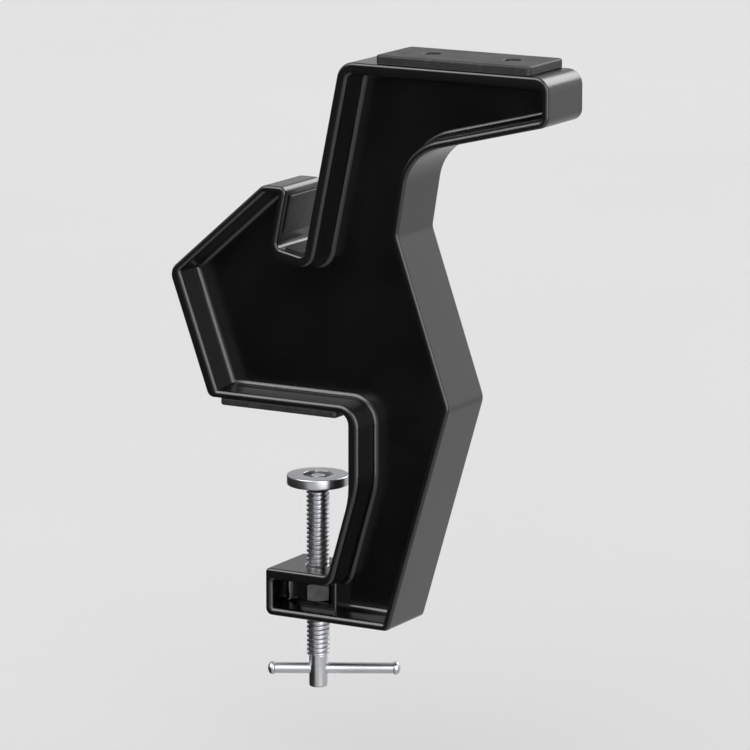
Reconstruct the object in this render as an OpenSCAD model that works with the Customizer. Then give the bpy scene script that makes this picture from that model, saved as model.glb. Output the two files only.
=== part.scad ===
// Snowboard tuning vise: a cast C-frame that clamps to a bench edge with a screw.
// It holds a board on edge in the leaning slot, or flat on the padded arm.
// Origin: on the screw axis, in the plane of the bench top under the jaw pad.
// +X points away from the bench, +Y runs along the bench edge, +Z is up.

/* [Frame] */
// Thickness of the casting, along the bench edge
frame_t = 31.5; // [26:0.5:40]
// Thickness of the web between the two pockets
web_t = 5; // [4:0.5:8]
// Width of the rim around the pockets
rim_w = 3.5; // [2.5:0.1:4]
// Width of the rim on the sides that carry the board and the clamping force
rim_load_w = 5.2; // [4:0.1:6]
// Screw axis to the throat wall
throat_x = 23.7; // [22:0.1:30]
// Lean of the throat wall below its bend, in degrees
throat_lean = 16.3; // [12:0.1:20]
// Bench plane to the top of the lower jaw
jaw_top = -69.4; // [-75:0.1:-65]
// Height of the lower jaw
jaw_h = 20.9; // [19:0.1:21.5]
// Screw axis to the tip of the lower jaw
jaw_reach = 17.4; // [16:0.1:19]
// Bottom outer corner of the frame from the screw axis
base_x = 43.5; // [40:0.5:46]
// Outermost point of the back, from the screw axis
belly_x = 73; // [66:0.5:76]
// Height of that point
belly_z = 9.8; // [5:0.1:15]
// Waist of the column at the back, from the screw axis
knee_x = 48; // [46:0.5:52]
// Height of the waist
knee_z = 81.5; // [78:0.5:86]

/* [Arm] */
// Height of the top of the arm
arm_top = 153.6; // [148:0.2:160]
// End of the arm from the screw axis
arm_end = 119; // [110:0.5:125]
// Height of the arm at its end
arm_end_h = 20.4; // [18:0.2:24]
// Slope of the underside of the arm, in degrees
arm_slope = 14; // [10:0.5:18]

/* [Board slot] */
// Lean of the column and the slot, in degrees
lean = 11.8; // [8:0.1:15]
// Slot floor corner at the column, from the screw axis
slot_x = 2.1; // [0:0.1:5]
// Height of that corner
slot_z = 68.5; // [66:0.1:72]
// Width of the slot between the metal faces
slot_w = 14; // [12:0.5:16]
// Height of the top of the outer lip
lip_top = 98; // [94:0.5:104]
// Width of the top of the outer lip
lip_w = 12; // [9:0.5:15]
// Foot of the block, inboard of the screw axis
block_foot = 45.7; // [43:0.1:48]
// Lean of the inboard side of the block, in degrees
block_lean = 19.9; // [17:0.1:23]
// Height of the inboard shoulder of the block
shoulder_z = 57; // [52:0.5:62]

/* [Pads] */
// Length of the arm pad
arm_pad_l = 73; // [66:1:78]
// Thickness of the arm pad
arm_pad_t = 4; // [3.5:0.1:5]
// Start of the arm pad from the screw axis
arm_pad_x = 37; // [34:0.5:40]
// Length of the jaw pad
jaw_pad_l = 58; // [52:1:62]
// Thickness of the jaw pad
jaw_pad_t = 3; // [3:0.1:4]
// Thickness of the bonded strips in the slot
strip_t = 2.5; // [2:0.1:3]
// How far the strips stand proud of the metal
strip_proud = 1; // [0.5:0.1:1.5]

/* [Clamp screw] */
// Outer diameter of the screw thread
screw_d = 10; // [9:0.5:11]
// Height of the lower end of the thread at rest
thread_bottom = -110; // [-114:1:-106]
// Diameter of the plain head that holds the bar
head_d = 8; // [7.5:0.1:8.4]
// Height of the lower end of the head at rest
head_bottom = -123.5; // [-126:0.5:-122]
// Height of the tommy bar at rest
bar_z = -115.5; // [-116.5:0.5:-115]
// Width across the flats of the captive nut
nut_af = 16; // [15:0.5:17]
// Height of the captive nut
nut_h = 8; // [7:0.5:8.5]

/* [Foot] */
// Diameter of the swivel foot
foot_d = 27; // [24:1:30]
// Thickness of the swivel foot
foot_t = 4.5; // [4.2:0.1:5.5]
// Height of the foot's face at rest
foot_top = -29; // [-32:0.5:-27]

/* [Tommy bar] */
// Diameter of the bar
bar_d = 4.8; // [4:0.1:5]
// Length of the bar over its end caps
bar_l = 58; // [52:1:66]
// How far the bar stands off centre at rest
bar_shift = 6.9; // [-8:0.1:8]
// Direction of the bar at rest, in degrees from +X
bar_angle = 29; // [0:1:90]
// Diameter of the end caps
cap_d = 5.8; // [5.4:0.1:6.5]

/* [Hidden] */
$fn = 64;

// Play between parts that slide or turn on each other, and between set parts
run_gap = 0.05;
set_gap = 0.02;
// Depth that a cutter passes beyond the surface it opens
over = 1;

// Frame heights and the pockets on both sides of the web
jaw_bottom = jaw_top - jaw_h;
pocket_d = (frame_t - web_t) / 2;
pocket_y = web_t / 2;
block_z = jaw_pad_t;
jaw_rim = 5;

// Directions of the leaning slot: up its wall, and across it away from the column
slot_up = [sin(lean), cos(lean)];
slot_out = [-cos(lean), sin(lean)];
slot_near = [slot_x, slot_z];
slot_far = slot_near + slot_w * slot_out;
lip_edge = slot_far + slot_up * (lip_top - slot_far.y) / cos(lean);
column_top = slot_near + slot_up * (arm_top - slot_z) / cos(lean);
arm_low = [arm_end, arm_top - arm_end_h];
shoulder = [-block_foot - (shoulder_z - block_z) * tan(block_lean), shoulder_z];
// Throat wall: upright above the bend, then slanting in to the lower jaw
bend_z = -34.5;
throat_foot = [throat_x - (bend_z - jaw_top) * tan(throat_lean), jaw_top];
// Inner corner under the arm, where the column's back meets the arm's underside
back_slope = 0.165;
arm_root_z = (arm_low.y - (arm_end - knee_x + back_slope * knee_z) * tan(arm_slope))
    / (1 - back_slope * tan(arm_slope));
arm_root = [knee_x + back_slope * (arm_root_z - knee_z), arm_root_z];

// Corners of the frame in side view, counter-clockwise: [x, z, corner radius, rim width of
// the side from this corner to the next]
FRAME = [
    [-jaw_reach, jaw_bottom, 3, rim_w],
    [base_x, jaw_bottom, 3, rim_w],
    [belly_x, belly_z, 7, rim_w],
    [knee_x, knee_z, 6, rim_w],
    [arm_root.x, arm_root.y, 21, rim_w],
    [arm_low.x, arm_low.y, 5, rim_w],
    [arm_end, arm_top, 6.5, rim_load_w],
    [column_top.x, column_top.y, 8, rim_load_w],
    [slot_near.x, slot_near.y, 2.5, rim_load_w],
    [slot_far.x, slot_far.y, 2.5, rim_w],
    [lip_edge.x, lip_edge.y, 3, rim_w],
    [lip_edge.x - lip_w, lip_top, 6, rim_w],
    [shoulder.x, shoulder.y, 6, rim_load_w],
    [-block_foot, block_z, 3.5, rim_w],
    [throat_x, block_z, 5.5, rim_load_w],
    [throat_x, bend_z, 36, rim_w],
    [throat_foot.x, throat_foot.y, 3, rim_w],
    [-jaw_reach, jaw_top, 2, rim_w]
];
// The pocket follows the frame inside its rim, under a thicker rim on top of the jaw
RING = inside_rim(FRAME);
last = len(FRAME) - 1;
jaw_roof = jaw_top - jaw_rim;
POCKET = concat(
    [for (i = [0:last - 2]) RING[i]],
    [[RING[last - 2].x - (RING[last - 2].y - jaw_roof) * tan(throat_lean), jaw_roof, 6]],
    [[RING[0].x, jaw_roof, 1.5]]
);

// Nut, the cell that it slides into from the side and the hole for the screw
nut_z = (jaw_top + jaw_bottom) / 2;
cell_wall = 2.2;
cell_room = 4;
cell_y = 9;
cell_end_r = 6;
jaw_hole_r = screw_d / 2 + 0.4;

// Pad screws: shank, head and the play around both in the pads
pad_screw_r = 1.6;
pad_screw_l = 14;
pad_head_r = 3.4;
pad_head_t = 1.6;
pad_head_drop = 0.6;
shank_play = 0.2;
head_play = 0.4;

// Pads: where they lie, their screws' places along them, and their edges
jaw_pad_x = -40.2;
arm_pad_holes = [19, 57];
jaw_pad_holes = [11, 47];
pad_w = frame_t - 1;
pad_corner_r = 2;

// Bonded strips: width along the slot, and length up each face
strip_w = 22;
column_strip_l = 60;
column_strip_u = 12;
lip_strip_l = 17;
lip_strip_u = 6;
slot_strip_l = 9.5;

// Domed washer under the foot, and the spherical seat it turns in
washer_r = 6;
washer_edge = 0.8;
washer_below = 1.5;
washer_bottom = foot_top - foot_t - washer_below;
seat_r = 9;
seat_centre = washer_bottom + washer_edge - sqrt(pow(seat_r, 2) - pow(washer_r, 2));

// Foot, with a recess for the ring that holds it on the neck of the screw
foot_bore_r = 3.9;
foot_recess_r = 6.5;
foot_recess_t = 2;
ring_r = 5.4;
ring_t = 0.8;
ring_above = 0.4;
ring_z = foot_top - foot_recess_t + ring_above;
ring_groove_r = 2.3;
neck_r = 3;
neck_below = 0.4;
neck_top = foot_top - neck_below;

// Tommy bar with a stud at each end, and the caps on the studs
bar_hole_r = bar_d / 2 + run_gap;
stud_r = bar_d / 2 - 0.7;
stud_l = 2;
cap_l = 3;

CAST_BLACK = [0.07, 0.075, 0.08];
RUBBER = [0.2, 0.205, 0.2];
ZINC = [0.78, 0.8, 0.82];
DARK_STEEL = [0.25, 0.26, 0.27];

function unit(v) = v / norm(v);
function left_of(v) = [-v.y, v.x];
function flat(p) = [p.x, p.y];
function turn(u, v) = u.x * v.y - u.y * v.x;

// A corner list moved inwards, each side by the rim width in its row: bulging corners
// tighten and hollow ones widen
function inside_rim(list) = [
    for (i = [0:len(list) - 1])
        let (
            n = len(list),
            before = list[(i + n - 1) % n],
            here = flat(list[i]),
            u = unit(here - flat(before)),
            v = unit(flat(list[(i + 1) % n]) - here),
            a = left_of(u),
            b = left_of(v),
            d = before[3],
            e = list[i][3],
            c = a * b,
            p = here + (a * (d - e * c) + b * (e - d * c)) / (1 - c * c),
            change = (d + e) / 2,
            r = turn(u, v) > 0 ? max(list[i][2] - change, 1) : list[i][2] + change
        )
        [p.x, p.y, r]
];

// Points along the round that blends the corner b between its neighbours a and c
function round_points(a, b, c, r) =
    let (
        u = unit(a - b),
        v = unit(c - b),
        half = acos(u * v) / 2,
        middle = b + unit(u + v) * r / sin(half),
        p = b + u * r / tan(half) - middle,
        q = b + v * r / tan(half) - middle,
        start = atan2(p.y, p.x),
        sweep = (atan2(q.y, q.x) - start + 540) % 360 - 180,
        steps = max(3, ceil(abs(sweep) / 9))
    )
    [for (i = [0:steps]) middle + r * [cos(start + sweep * i / steps), sin(start + sweep * i / steps)]];

function rounded(list) = [
    for (i = [0:len(list) - 1])
        let (n = len(list))
        each round_points(
            flat(list[(i + n - 1) % n]), flat(list[i]), flat(list[(i + 1) % n]), list[i][2]
        )
];

// A plate of thickness t, standing in the XZ plane and centred on y = 0
module plate(list, t) {
    rotate([90, 0, 0])
        linear_extrude(t, center = true)
            polygon(rounded(list));
}

// A flat pad with rounded corners, lying on z = 0 from x = 0 to x = l
module pad_slab(l, t) {
    linear_extrude(t)
        translate([l / 2, 0])
            difference() {
                square([l, pad_w], center = true);
                for (sx = [-1, 1], sy = [-1, 1])
                    translate([sx * l / 2, sy * pad_w / 2])
                        difference() {
                            square(2 * pad_corner_r, center = true);
                            translate([-sx * pad_corner_r, -sy * pad_corner_r])
                                circle(pad_corner_r);
                        }
            }
}

// Rubber pad with two counterbored holes, its open face up
module screwed_pad(l, t, holes) {
    difference() {
        pad_slab(l, t);
        for (x = holes)
            translate([x, 0, 0]) {
                translate([0, 0, -over])
                    cylinder(r = pad_screw_r + shank_play, h = t + 2 * over);
                translate([0, 0, t - pad_head_drop - pad_head_t])
                    cylinder(r = pad_head_r + head_play, h = t + over);
            }
    }
}

// Pan-head screw with a cross recess, the seat of its head at z = 0
module pad_screw() {
    side_h = 1;
    crown_r = 2.7;
    cross_l = 4;
    cross_t = 0.9;
    cross_deep = 0.9;
    difference() {
        union() {
            rotate_extrude()
                polygon([
                    [0, 0],
                    [pad_head_r, 0],
                    [pad_head_r, side_h],
                    [crown_r, pad_head_t],
                    [0, pad_head_t]
                ]);
            translate([0, 0, -pad_screw_l])
                cylinder(r = pad_screw_r, h = pad_screw_l + pad_head_t / 2);
        }
        for (a = [0, 90])
            rotate(a)
                translate([0, 0, pad_head_t])
                    cube([cross_l, cross_t, 2 * cross_deep], center = true);
    }
}

// Places its children on a slot face: x runs along the face, z stands out from it
module on_face(at, along, out) {
    multmatrix([
        [along.x, 0, out.x, at.x],
        [0, turn(out, along), 0, 0],
        [along.y, 0, out.y, at.y],
        [0, 0, 0, 1]
    ])
        children();
}

module on_column() {
    on_face(slot_near + column_strip_u * slot_up, slot_up, slot_out)
        children();
}

module on_lip() {
    on_face(slot_far + lip_strip_u * slot_up, slot_up, -slot_out)
        children();
}

module on_slot_floor() {
    on_face(slot_near + (slot_w - slot_strip_l) / 2 * slot_out, slot_out, slot_up)
        children();
}

// A strip of length l, most of its thickness below the metal face
module strip(l) {
    translate([0, -strip_w / 2, strip_proud - strip_t])
        cube([l, strip_w, strip_t]);
}

// The recess that a strip is bonded into, open towards the slot
module strip_recess(l) {
    gap = set_gap;
    translate([-gap, -strip_w / 2 - gap, strip_proud - strip_t - gap])
        cube([l + 2 * gap, strip_w + 2 * gap, strip_t + over]);
}

// Block around the nut on both sides of the web, round at its inboard end
module nut_cell() {
    inboard = -nut_af / 2;
    outboard = nut_af / 2 + cell_room + cell_wall;
    h = jaw_h - 2 * over;
    translate([0, 0, nut_z - h / 2])
        linear_extrude(h)
            polygon(rounded([
                [inboard, -cell_y, cell_end_r],
                [outboard, -cell_y, 1],
                [outboard, cell_y, 1],
                [inboard, cell_y, cell_end_r]
            ]));
}

// Room for the nut: open inboard, and held by its flats in the web, with space outboard
module nut_room() {
    h = nut_h + 2 * set_gap;
    w = nut_af + 2 * set_gap;
    translate([0, 0, nut_z]) {
        cube([w, 2 * frame_t, h], center = true);
        for (side = [-1, 1])
            translate([cell_room / 2, side * (pocket_y + frame_t / 2), 0])
                cube([w + cell_room, frame_t, h], center = true);
    }
}

module frame() {
    color(CAST_BLACK)
        difference() {
            union() {
                difference() {
                    plate(FRAME, frame_t);
                    for (side = [-1, 1])
                        translate([0, side * (pocket_y + pocket_d), 0])
                            plate(POCKET, 2 * pocket_d);
                }
                nut_cell();
            }
            translate([0, 0, jaw_bottom - over])
                cylinder(r = jaw_hole_r, h = jaw_h + 2 * over);
            nut_room();
            for (x = arm_pad_holes)
                translate([arm_pad_x + x, 0, arm_top - pad_screw_l])
                    cylinder(r = pad_screw_r + set_gap, h = pad_screw_l + over);
            for (x = jaw_pad_holes)
                translate([jaw_pad_x + x, 0, block_z - over])
                    cylinder(r = pad_screw_r + set_gap, h = pad_screw_l + over);
            on_column() strip_recess(column_strip_l);
            on_lip() strip_recess(lip_strip_l);
            on_slot_floor() strip_recess(slot_strip_l);
        }
}

module arm_pad() {
    color(RUBBER)
        translate([arm_pad_x, 0, arm_top])
            screwed_pad(arm_pad_l, arm_pad_t, arm_pad_holes);
}

module arm_pad_screws() {
    color(ZINC)
        for (x = arm_pad_holes)
            translate([arm_pad_x + x, 0, arm_top + arm_pad_t - pad_head_drop - pad_head_t])
                pad_screw();
}

module jaw_pad() {
    color(RUBBER)
        translate([jaw_pad_x, 0, block_z])
            mirror([0, 0, 1])
                screwed_pad(jaw_pad_l, jaw_pad_t, jaw_pad_holes);
}

module jaw_pad_screws() {
    color(ZINC)
        for (x = jaw_pad_holes)
            translate([jaw_pad_x + x, 0, block_z - jaw_pad_t + pad_head_drop + pad_head_t])
                mirror([0, 0, 1])
                    pad_screw();
}

module column_strip() {
    color(RUBBER)
        on_column() strip(column_strip_l);
}

module slot_strip() {
    color(RUBBER)
        on_slot_floor() strip(slot_strip_l);
}

module lip_strip() {
    color(RUBBER)
        on_lip() strip(lip_strip_l);
}

// Hexagon with two flats towards +X and -X and turned corners
module hex_nut() {
    corner_r = nut_af / 2 / cos(30);
    turned = 0.7;
    color(DARK_STEEL)
        translate([0, 0, nut_z - nut_h / 2])
            difference() {
                intersection() {
                    rotate(30)
                        cylinder(r = corner_r, h = nut_h, $fn = 6);
                    rotate_extrude()
                        polygon([
                            [0, 0],
                            [nut_af / 2, 0],
                            [corner_r, turned],
                            [corner_r, nut_h - turned],
                            [nut_af / 2, nut_h],
                            [0, nut_h]
                        ]);
                }
                translate([0, 0, -over])
                    cylinder(r = screw_d / 2 + run_gap, h = nut_h + 2 * over);
            }
}

// Screw with its thread as a plain envelope, turned from one bar
module spindle() {
    r = screw_d / 2;
    lead_in = 0.8;
    neck_edge = 0.3;
    color(ZINC)
        difference() {
            rotate_extrude()
                polygon([
                    [0, head_bottom],
                    [head_d / 2 - lead_in, head_bottom],
                    [head_d / 2, head_bottom + lead_in],
                    [head_d / 2, thread_bottom - lead_in],
                    [r, thread_bottom + lead_in / 2],
                    [r, washer_bottom - lead_in],
                    [r - lead_in, washer_bottom],
                    [neck_r, washer_bottom],
                    [neck_r, ring_z - set_gap],
                    [ring_groove_r, ring_z - set_gap],
                    [ring_groove_r, ring_z + ring_t + set_gap],
                    [neck_r, ring_z + ring_t + set_gap],
                    [neck_r, neck_top - neck_edge],
                    [neck_r - neck_edge, neck_top],
                    [0, neck_top]
                ]);
            rotate(bar_angle)
                translate([0, 0, bar_z])
                    rotate([0, 90, 0])
                        cylinder(r = bar_hole_r, h = 2 * head_d, center = true);
        }
}

// Domed washer that carries the thrust of the screw into the foot
module thrust_washer() {
    color(DARK_STEEL)
        difference() {
            intersection() {
                translate([0, 0, seat_centre])
                    sphere(seat_r);
                translate([0, 0, washer_bottom + set_gap])
                    cylinder(r = washer_r, h = foot_t);
            }
            translate([0, 0, washer_bottom - over])
                cylinder(r = neck_r + run_gap, h = foot_t + 2 * over);
        }
}

module swivel_foot() {
    edge = 0.8;
    color(ZINC)
        difference() {
            rotate_extrude()
                polygon([
                    [0, foot_top - foot_t],
                    [foot_d / 2 - edge, foot_top - foot_t],
                    [foot_d / 2, foot_top - foot_t + edge],
                    [foot_d / 2, foot_top - edge / 2],
                    [foot_d / 2 - edge / 2, foot_top],
                    [0, foot_top]
                ]);
            translate([0, 0, seat_centre])
                sphere(seat_r + set_gap);
            translate([0, 0, foot_top - foot_t - over])
                cylinder(r = foot_bore_r, h = foot_t + 2 * over);
            translate([0, 0, foot_top - foot_recess_t])
                cylinder(r = foot_recess_r, h = foot_recess_t + over);
        }
}

// Snap ring in the groove of the neck, open on one side
module retaining_ring() {
    gap_w = 3;
    color(DARK_STEEL)
        translate([0, 0, ring_z])
            difference() {
                cylinder(r = ring_r, h = ring_t);
                translate([0, 0, -over])
                    cylinder(r = ring_groove_r + set_gap, h = ring_t + 2 * over);
                translate([0, -gap_w / 2, -over])
                    cube([ring_r + over, gap_w, ring_t + 2 * over]);
            }
}

// Places its children along the bar at rest, x running out along it
module on_bar() {
    rotate(bar_angle)
        translate([bar_shift, 0, bar_z])
            children();
}

module tommy_bar() {
    color(ZINC)
        on_bar()
            rotate([0, 90, 0]) {
                cylinder(r = bar_d / 2, h = bar_l - 2 * cap_l, center = true);
                cylinder(r = stud_r, h = bar_l - 2 * (cap_l - stud_l), center = true);
            }
}

// Cap for a stud at the end of the bar, pointing along +X, with its outer edge turned over
module bar_cap() {
    r = cap_d / 2;
    edge = 0.5;
    rotate([0, 90, 0])
        difference() {
            rotate_extrude()
                polygon([
                    [0, set_gap],
                    [r - edge, set_gap],
                    [r, edge],
                    [r, cap_l - 2.5 * edge],
                    [r - edge, cap_l - edge],
                    [r - 2.5 * edge, cap_l],
                    [0, cap_l]
                ]);
            translate([0, 0, -over])
                cylinder(r = stud_r + set_gap, h = stud_l + over + set_gap);
        }
}

module bar_cap_inner() {
    color(ZINC)
        on_bar()
            rotate(180)
                translate([bar_l / 2 - cap_l, 0, 0])
                    bar_cap();
}

module bar_cap_outer() {
    color(ZINC)
        on_bar()
            translate([bar_l / 2 - cap_l, 0, 0])
                bar_cap();
}

frame();
arm_pad();
arm_pad_screws();
jaw_pad();
jaw_pad_screws();
column_strip();
slot_strip();
lip_strip();
hex_nut();
spindle();
thrust_washer();
swivel_foot();
retaining_ring();
tommy_bar();
bar_cap_inner();
bar_cap_outer();
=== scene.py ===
import math

import bmesh
import bpy
from mathutils import Matrix, Vector


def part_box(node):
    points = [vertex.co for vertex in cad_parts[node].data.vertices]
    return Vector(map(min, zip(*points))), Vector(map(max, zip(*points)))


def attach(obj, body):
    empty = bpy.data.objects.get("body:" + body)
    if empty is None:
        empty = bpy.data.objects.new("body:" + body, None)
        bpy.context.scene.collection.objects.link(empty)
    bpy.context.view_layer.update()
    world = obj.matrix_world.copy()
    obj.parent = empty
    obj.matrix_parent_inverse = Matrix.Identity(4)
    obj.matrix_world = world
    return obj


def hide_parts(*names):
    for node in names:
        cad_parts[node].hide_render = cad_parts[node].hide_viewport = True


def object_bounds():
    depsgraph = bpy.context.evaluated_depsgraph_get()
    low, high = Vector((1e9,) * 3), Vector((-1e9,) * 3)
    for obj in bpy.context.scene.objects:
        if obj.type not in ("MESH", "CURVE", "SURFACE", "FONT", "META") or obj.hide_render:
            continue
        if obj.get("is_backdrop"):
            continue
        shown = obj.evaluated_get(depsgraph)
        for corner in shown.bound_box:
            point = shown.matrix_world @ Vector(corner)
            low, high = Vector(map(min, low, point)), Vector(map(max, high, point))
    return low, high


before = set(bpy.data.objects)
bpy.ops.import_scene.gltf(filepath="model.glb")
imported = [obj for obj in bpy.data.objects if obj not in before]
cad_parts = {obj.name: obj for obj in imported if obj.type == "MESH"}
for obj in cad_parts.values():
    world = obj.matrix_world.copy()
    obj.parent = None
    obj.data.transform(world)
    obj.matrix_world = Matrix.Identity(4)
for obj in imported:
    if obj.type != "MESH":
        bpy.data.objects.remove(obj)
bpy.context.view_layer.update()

# Lengths below are in millimetres, in the part's own frame; MM turns them into metres.
MM = 0.001


def node_box(node):
    """The lowest and highest corners of a CAD node, in millimetres."""
    low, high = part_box(node)
    return low / MM, high / MM


# ---------------------------------------------------------------- driving sizes

FRAME_LOW, FRAME_HIGH = node_box("frame")

# Casting: half its thickness, half its web, and the widths of its plain and its loaded rims
HALF_T = FRAME_HIGH.y
WEB_HALF = 2.5
RIM_W = 3.5
RIM_LOAD_W = 5.2

# Lower jaw: its height, the thicker rim along its top, and its reach under the bench
JAW_H = 20.9
JAW_ROOF_T = 5
JAW_REACH = 17.4
JAW_BOTTOM = FRAME_LOW.z
JAW_TOP = JAW_BOTTOM + JAW_H
JAW_ROOF = JAW_TOP - JAW_ROOF_T

# Back of the frame: the end of its base, its belly and knee (x, z), and the slope above that
BASE_X = 43.5
BELLY = (73, 9.8)
KNEE = (48, 81.5)
BACK_SLOPE = 0.165

# Arm: its end, its flat top, the height of its end face, and the slope of its underside
ARM_END = FRAME_HIGH.x
ARM_TOP = FRAME_HIGH.z
ARM_END_H = 20.4
ARM_SLOPE = math.radians(14)

# Board slot: where its floor meets the column (x, z), its lean, its width, and its outer lip
SLOT_FOOT = Vector((2.1, 68.5))
LEAN = math.radians(11.8)
SLOT_UP = Vector((math.sin(LEAN), math.cos(LEAN)))
SLOT_OUT = Vector((-math.cos(LEAN), math.sin(LEAN)))
SLOT_W = 14
LIP_TOP = 98
LIP_W = 12

# Block over the bench: its underside, its inboard foot, and the slope up to its shoulder
BLOCK_Z = 3
BLOCK_FOOT = 45.7
BLOCK_LEAN = math.radians(19.9)
SHOULDER_Z = 57

# Throat: its face beside the bench, and the bend from which it leans in to the jaw
THROAT_X = 23.7
BEND_Z = -34.5
THROAT_LEAN = math.radians(16.3)

# Captive nut, and the cell around it: the room beside the nut, its wall, side and round end
NUT_AF = 16
NUT_H = 8
NUT_Z = (JAW_TOP + JAW_BOTTOM) / 2
CELL_ROOM = 4
CELL_WALL = 2.2
CELL_Y = 9
CELL_END_R = 6

# Clamp screw: its thread, the hole for it in the jaw, its plain head, and the bar through that
SCREW_R = 5
THREAD_R = 4.15
PITCH = 2
JAW_HOLE_R = SCREW_R + 0.4
HEAD_R = 4
BAR_ANGLE = math.radians(29)


def frame_corners():
    """Corners of the casting in side view, counter-clockwise: (x, z, corner radius)."""
    far = SLOT_FOOT + SLOT_W * SLOT_OUT
    lip = far + SLOT_UP * (LIP_TOP - far.y) / math.cos(LEAN)
    top = SLOT_FOOT + SLOT_UP * (ARM_TOP - SLOT_FOOT.y) / math.cos(LEAN)
    arm_low = ARM_TOP - ARM_END_H
    shoulder_x = -BLOCK_FOOT - (SHOULDER_Z - BLOCK_Z) * math.tan(BLOCK_LEAN)
    throat_x = THROAT_X - (BEND_Z - JAW_TOP) * math.tan(THROAT_LEAN)
    slope = math.tan(ARM_SLOPE)
    run = ARM_END - KNEE[0] + BACK_SLOPE * KNEE[1]
    root_z = (arm_low - run * slope) / (1 - BACK_SLOPE * slope)
    root_x = KNEE[0] + BACK_SLOPE * (root_z - KNEE[1])
    return [
        (-JAW_REACH, JAW_BOTTOM, 3), (BASE_X, JAW_BOTTOM, 3), (*BELLY, 7), (*KNEE, 6),
        (root_x, root_z, 21), (ARM_END, arm_low, 5), (ARM_END, ARM_TOP, 6.5), (*top, 8),
        (*SLOT_FOOT, 2.5), (*far, 2.5), (*lip, 3), (lip.x - LIP_W, LIP_TOP, 6),
        (shoulder_x, SHOULDER_Z, 6), (-BLOCK_FOOT, BLOCK_Z, 3.5), (THROAT_X, BLOCK_Z, 5.5),
        (THROAT_X, BEND_Z, 36), (throat_x, JAW_TOP, 3), (-JAW_REACH, JAW_TOP, 2),
    ]


# Sides of the casting, by their first corner, whose rims carry the board and the clamping force:
# the arm's top, the column, the slot's floor, the block's inboard side and the throat
LOADED_SIDES = (6, 7, 8, 12, 14)


# ---------------------------------------------------------------- outlines

# The smallest corner radius, and the degrees between points round a corner
MIN_R = 0.3
ARC_STEP = 6


def inset(corners, d):
    """The corner list moved inwards by d; bulging corners tighten and hollow ones widen.

    d is one distance, or a list with one for the side that starts at each corner.
    """
    far = d if isinstance(d, list) else [d] * len(corners)
    moved = []
    for i, (x, z, r) in enumerate(corners):
        here = Vector((x, z))
        u = (here - Vector(corners[i - 1][:2])).normalized()
        v = (Vector(corners[(i + 1) % len(corners)][:2]) - here).normalized()
        a, b = Vector((-u.y, u.x)), Vector((-v.y, v.x))
        c = a.dot(b)
        p = here + (a * (far[i - 1] - far[i] * c) + b * (far[i] - far[i - 1] * c)) / (1 - c * c)
        change = (far[i - 1] + far[i]) / 2
        turn = u.x * v.y - u.y * v.x
        moved.append((p.x, p.y, max(r - change if turn > 0 else r + change, MIN_R)))
    return moved


def rounded(corners, step=ARC_STEP):
    """Points along the outline, one per step in degrees; a corner has as many at any inset."""
    points = []
    for i, (x, z, r) in enumerate(corners):
        here = Vector((x, z))
        u = (Vector(corners[i - 1][:2]) - here).normalized()
        v = (Vector(corners[(i + 1) % len(corners)][:2]) - here).normalized()
        half = u.angle(v) / 2
        middle = here + (u + v).normalized() * r / math.sin(half)
        start = here + u * r / math.tan(half) - middle
        sweep = math.copysign(math.pi - 2 * half, u.y * v.x - u.x * v.y)
        count = max(3, math.ceil(math.degrees(abs(sweep)) / step - 0.01))
        for k in range(count + 1):
            a = sweep * k / count
            c, s = math.cos(a), math.sin(a)
            points.append(middle + Vector((start.x * c - start.y * s, start.x * s + start.y * c)))
    return points


# ---------------------------------------------------------------- mesh helpers

# The greatest angle of a smooth edge, and distances that count as touching or as on the axis
SMOOTH = 30
MERGE = 0.002
AXIS_R = 1e-6

# A round has this many steps, takes at most this share of a side, and is left out when tiny
ROUND_STEPS = 5
SIDE_SHARE = 0.49
TINY = 1e-4

# Steps of a block's rounded edges
EDGE_SEGMENTS = 4


def new_object(name, bm, material, smooth=SMOOTH):
    """A linked object from a bmesh in millimetres; smooth is its greatest smooth edge angle."""
    bmesh.ops.scale(bm, vec=(MM, MM, MM), verts=bm.verts)
    bmesh.ops.recalc_face_normals(bm, faces=bm.faces)
    shade(bm, smooth)
    mesh = bpy.data.meshes.new(name)
    bm.to_mesh(mesh)
    bm.free()
    obj = bpy.data.objects.new(name, mesh)
    bpy.context.scene.collection.objects.link(obj)
    if material:
        mesh.materials.append(material)
    return obj


def shade(bm, smooth):
    """Smooth faces, with sharp edges where two faces meet at more than an angle in degrees."""
    limit = math.radians(smooth)
    for face in bm.faces:
        face.smooth = True
    for edge in bm.edges:
        edge.smooth = len(edge.link_faces) == 2 and edge.calc_face_angle(0) < limit


def bridge(bm, low, high):
    """Quads between two closed rings with the same number of vertices."""
    for i in range(len(low)):
        j = (i + 1) % len(low)
        bm.faces.new((low[i], low[j], high[j], high[i]))


def arc(n, r):
    """n + 1 pairs (out, up) round a quarter circle, from (0, 0) to (r, r)."""
    steps = [math.pi / 2 * k / n for k in range(n + 1)]
    return [(r * (1 - math.cos(a)), r * math.sin(a)) for a in steps]


def fillet(points, radii):
    """A polyline of (r, z) points with its inner corners rounded by the radii given."""
    out = [points[0]]
    for i in range(1, len(points) - 1):
        here = Vector(points[i])
        u = Vector(points[i - 1]) - here
        v = Vector(points[i + 1]) - here
        half = u.angle(v) / 2
        longest = min(u.length * SIDE_SHARE, v.length * SIDE_SHARE)
        reach = min(radii[i - 1] / math.tan(half), longest)
        if reach < TINY:
            out.append(points[i])
            continue
        p, q = here + u.normalized() * reach, here + v.normalized() * reach
        for k in range(ROUND_STEPS + 1):
            t = k / ROUND_STEPS
            out.append(tuple((1 - t) ** 2 * p + 2 * t * (1 - t) * here + t * t * q))
    return out + [points[-1]]


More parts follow.
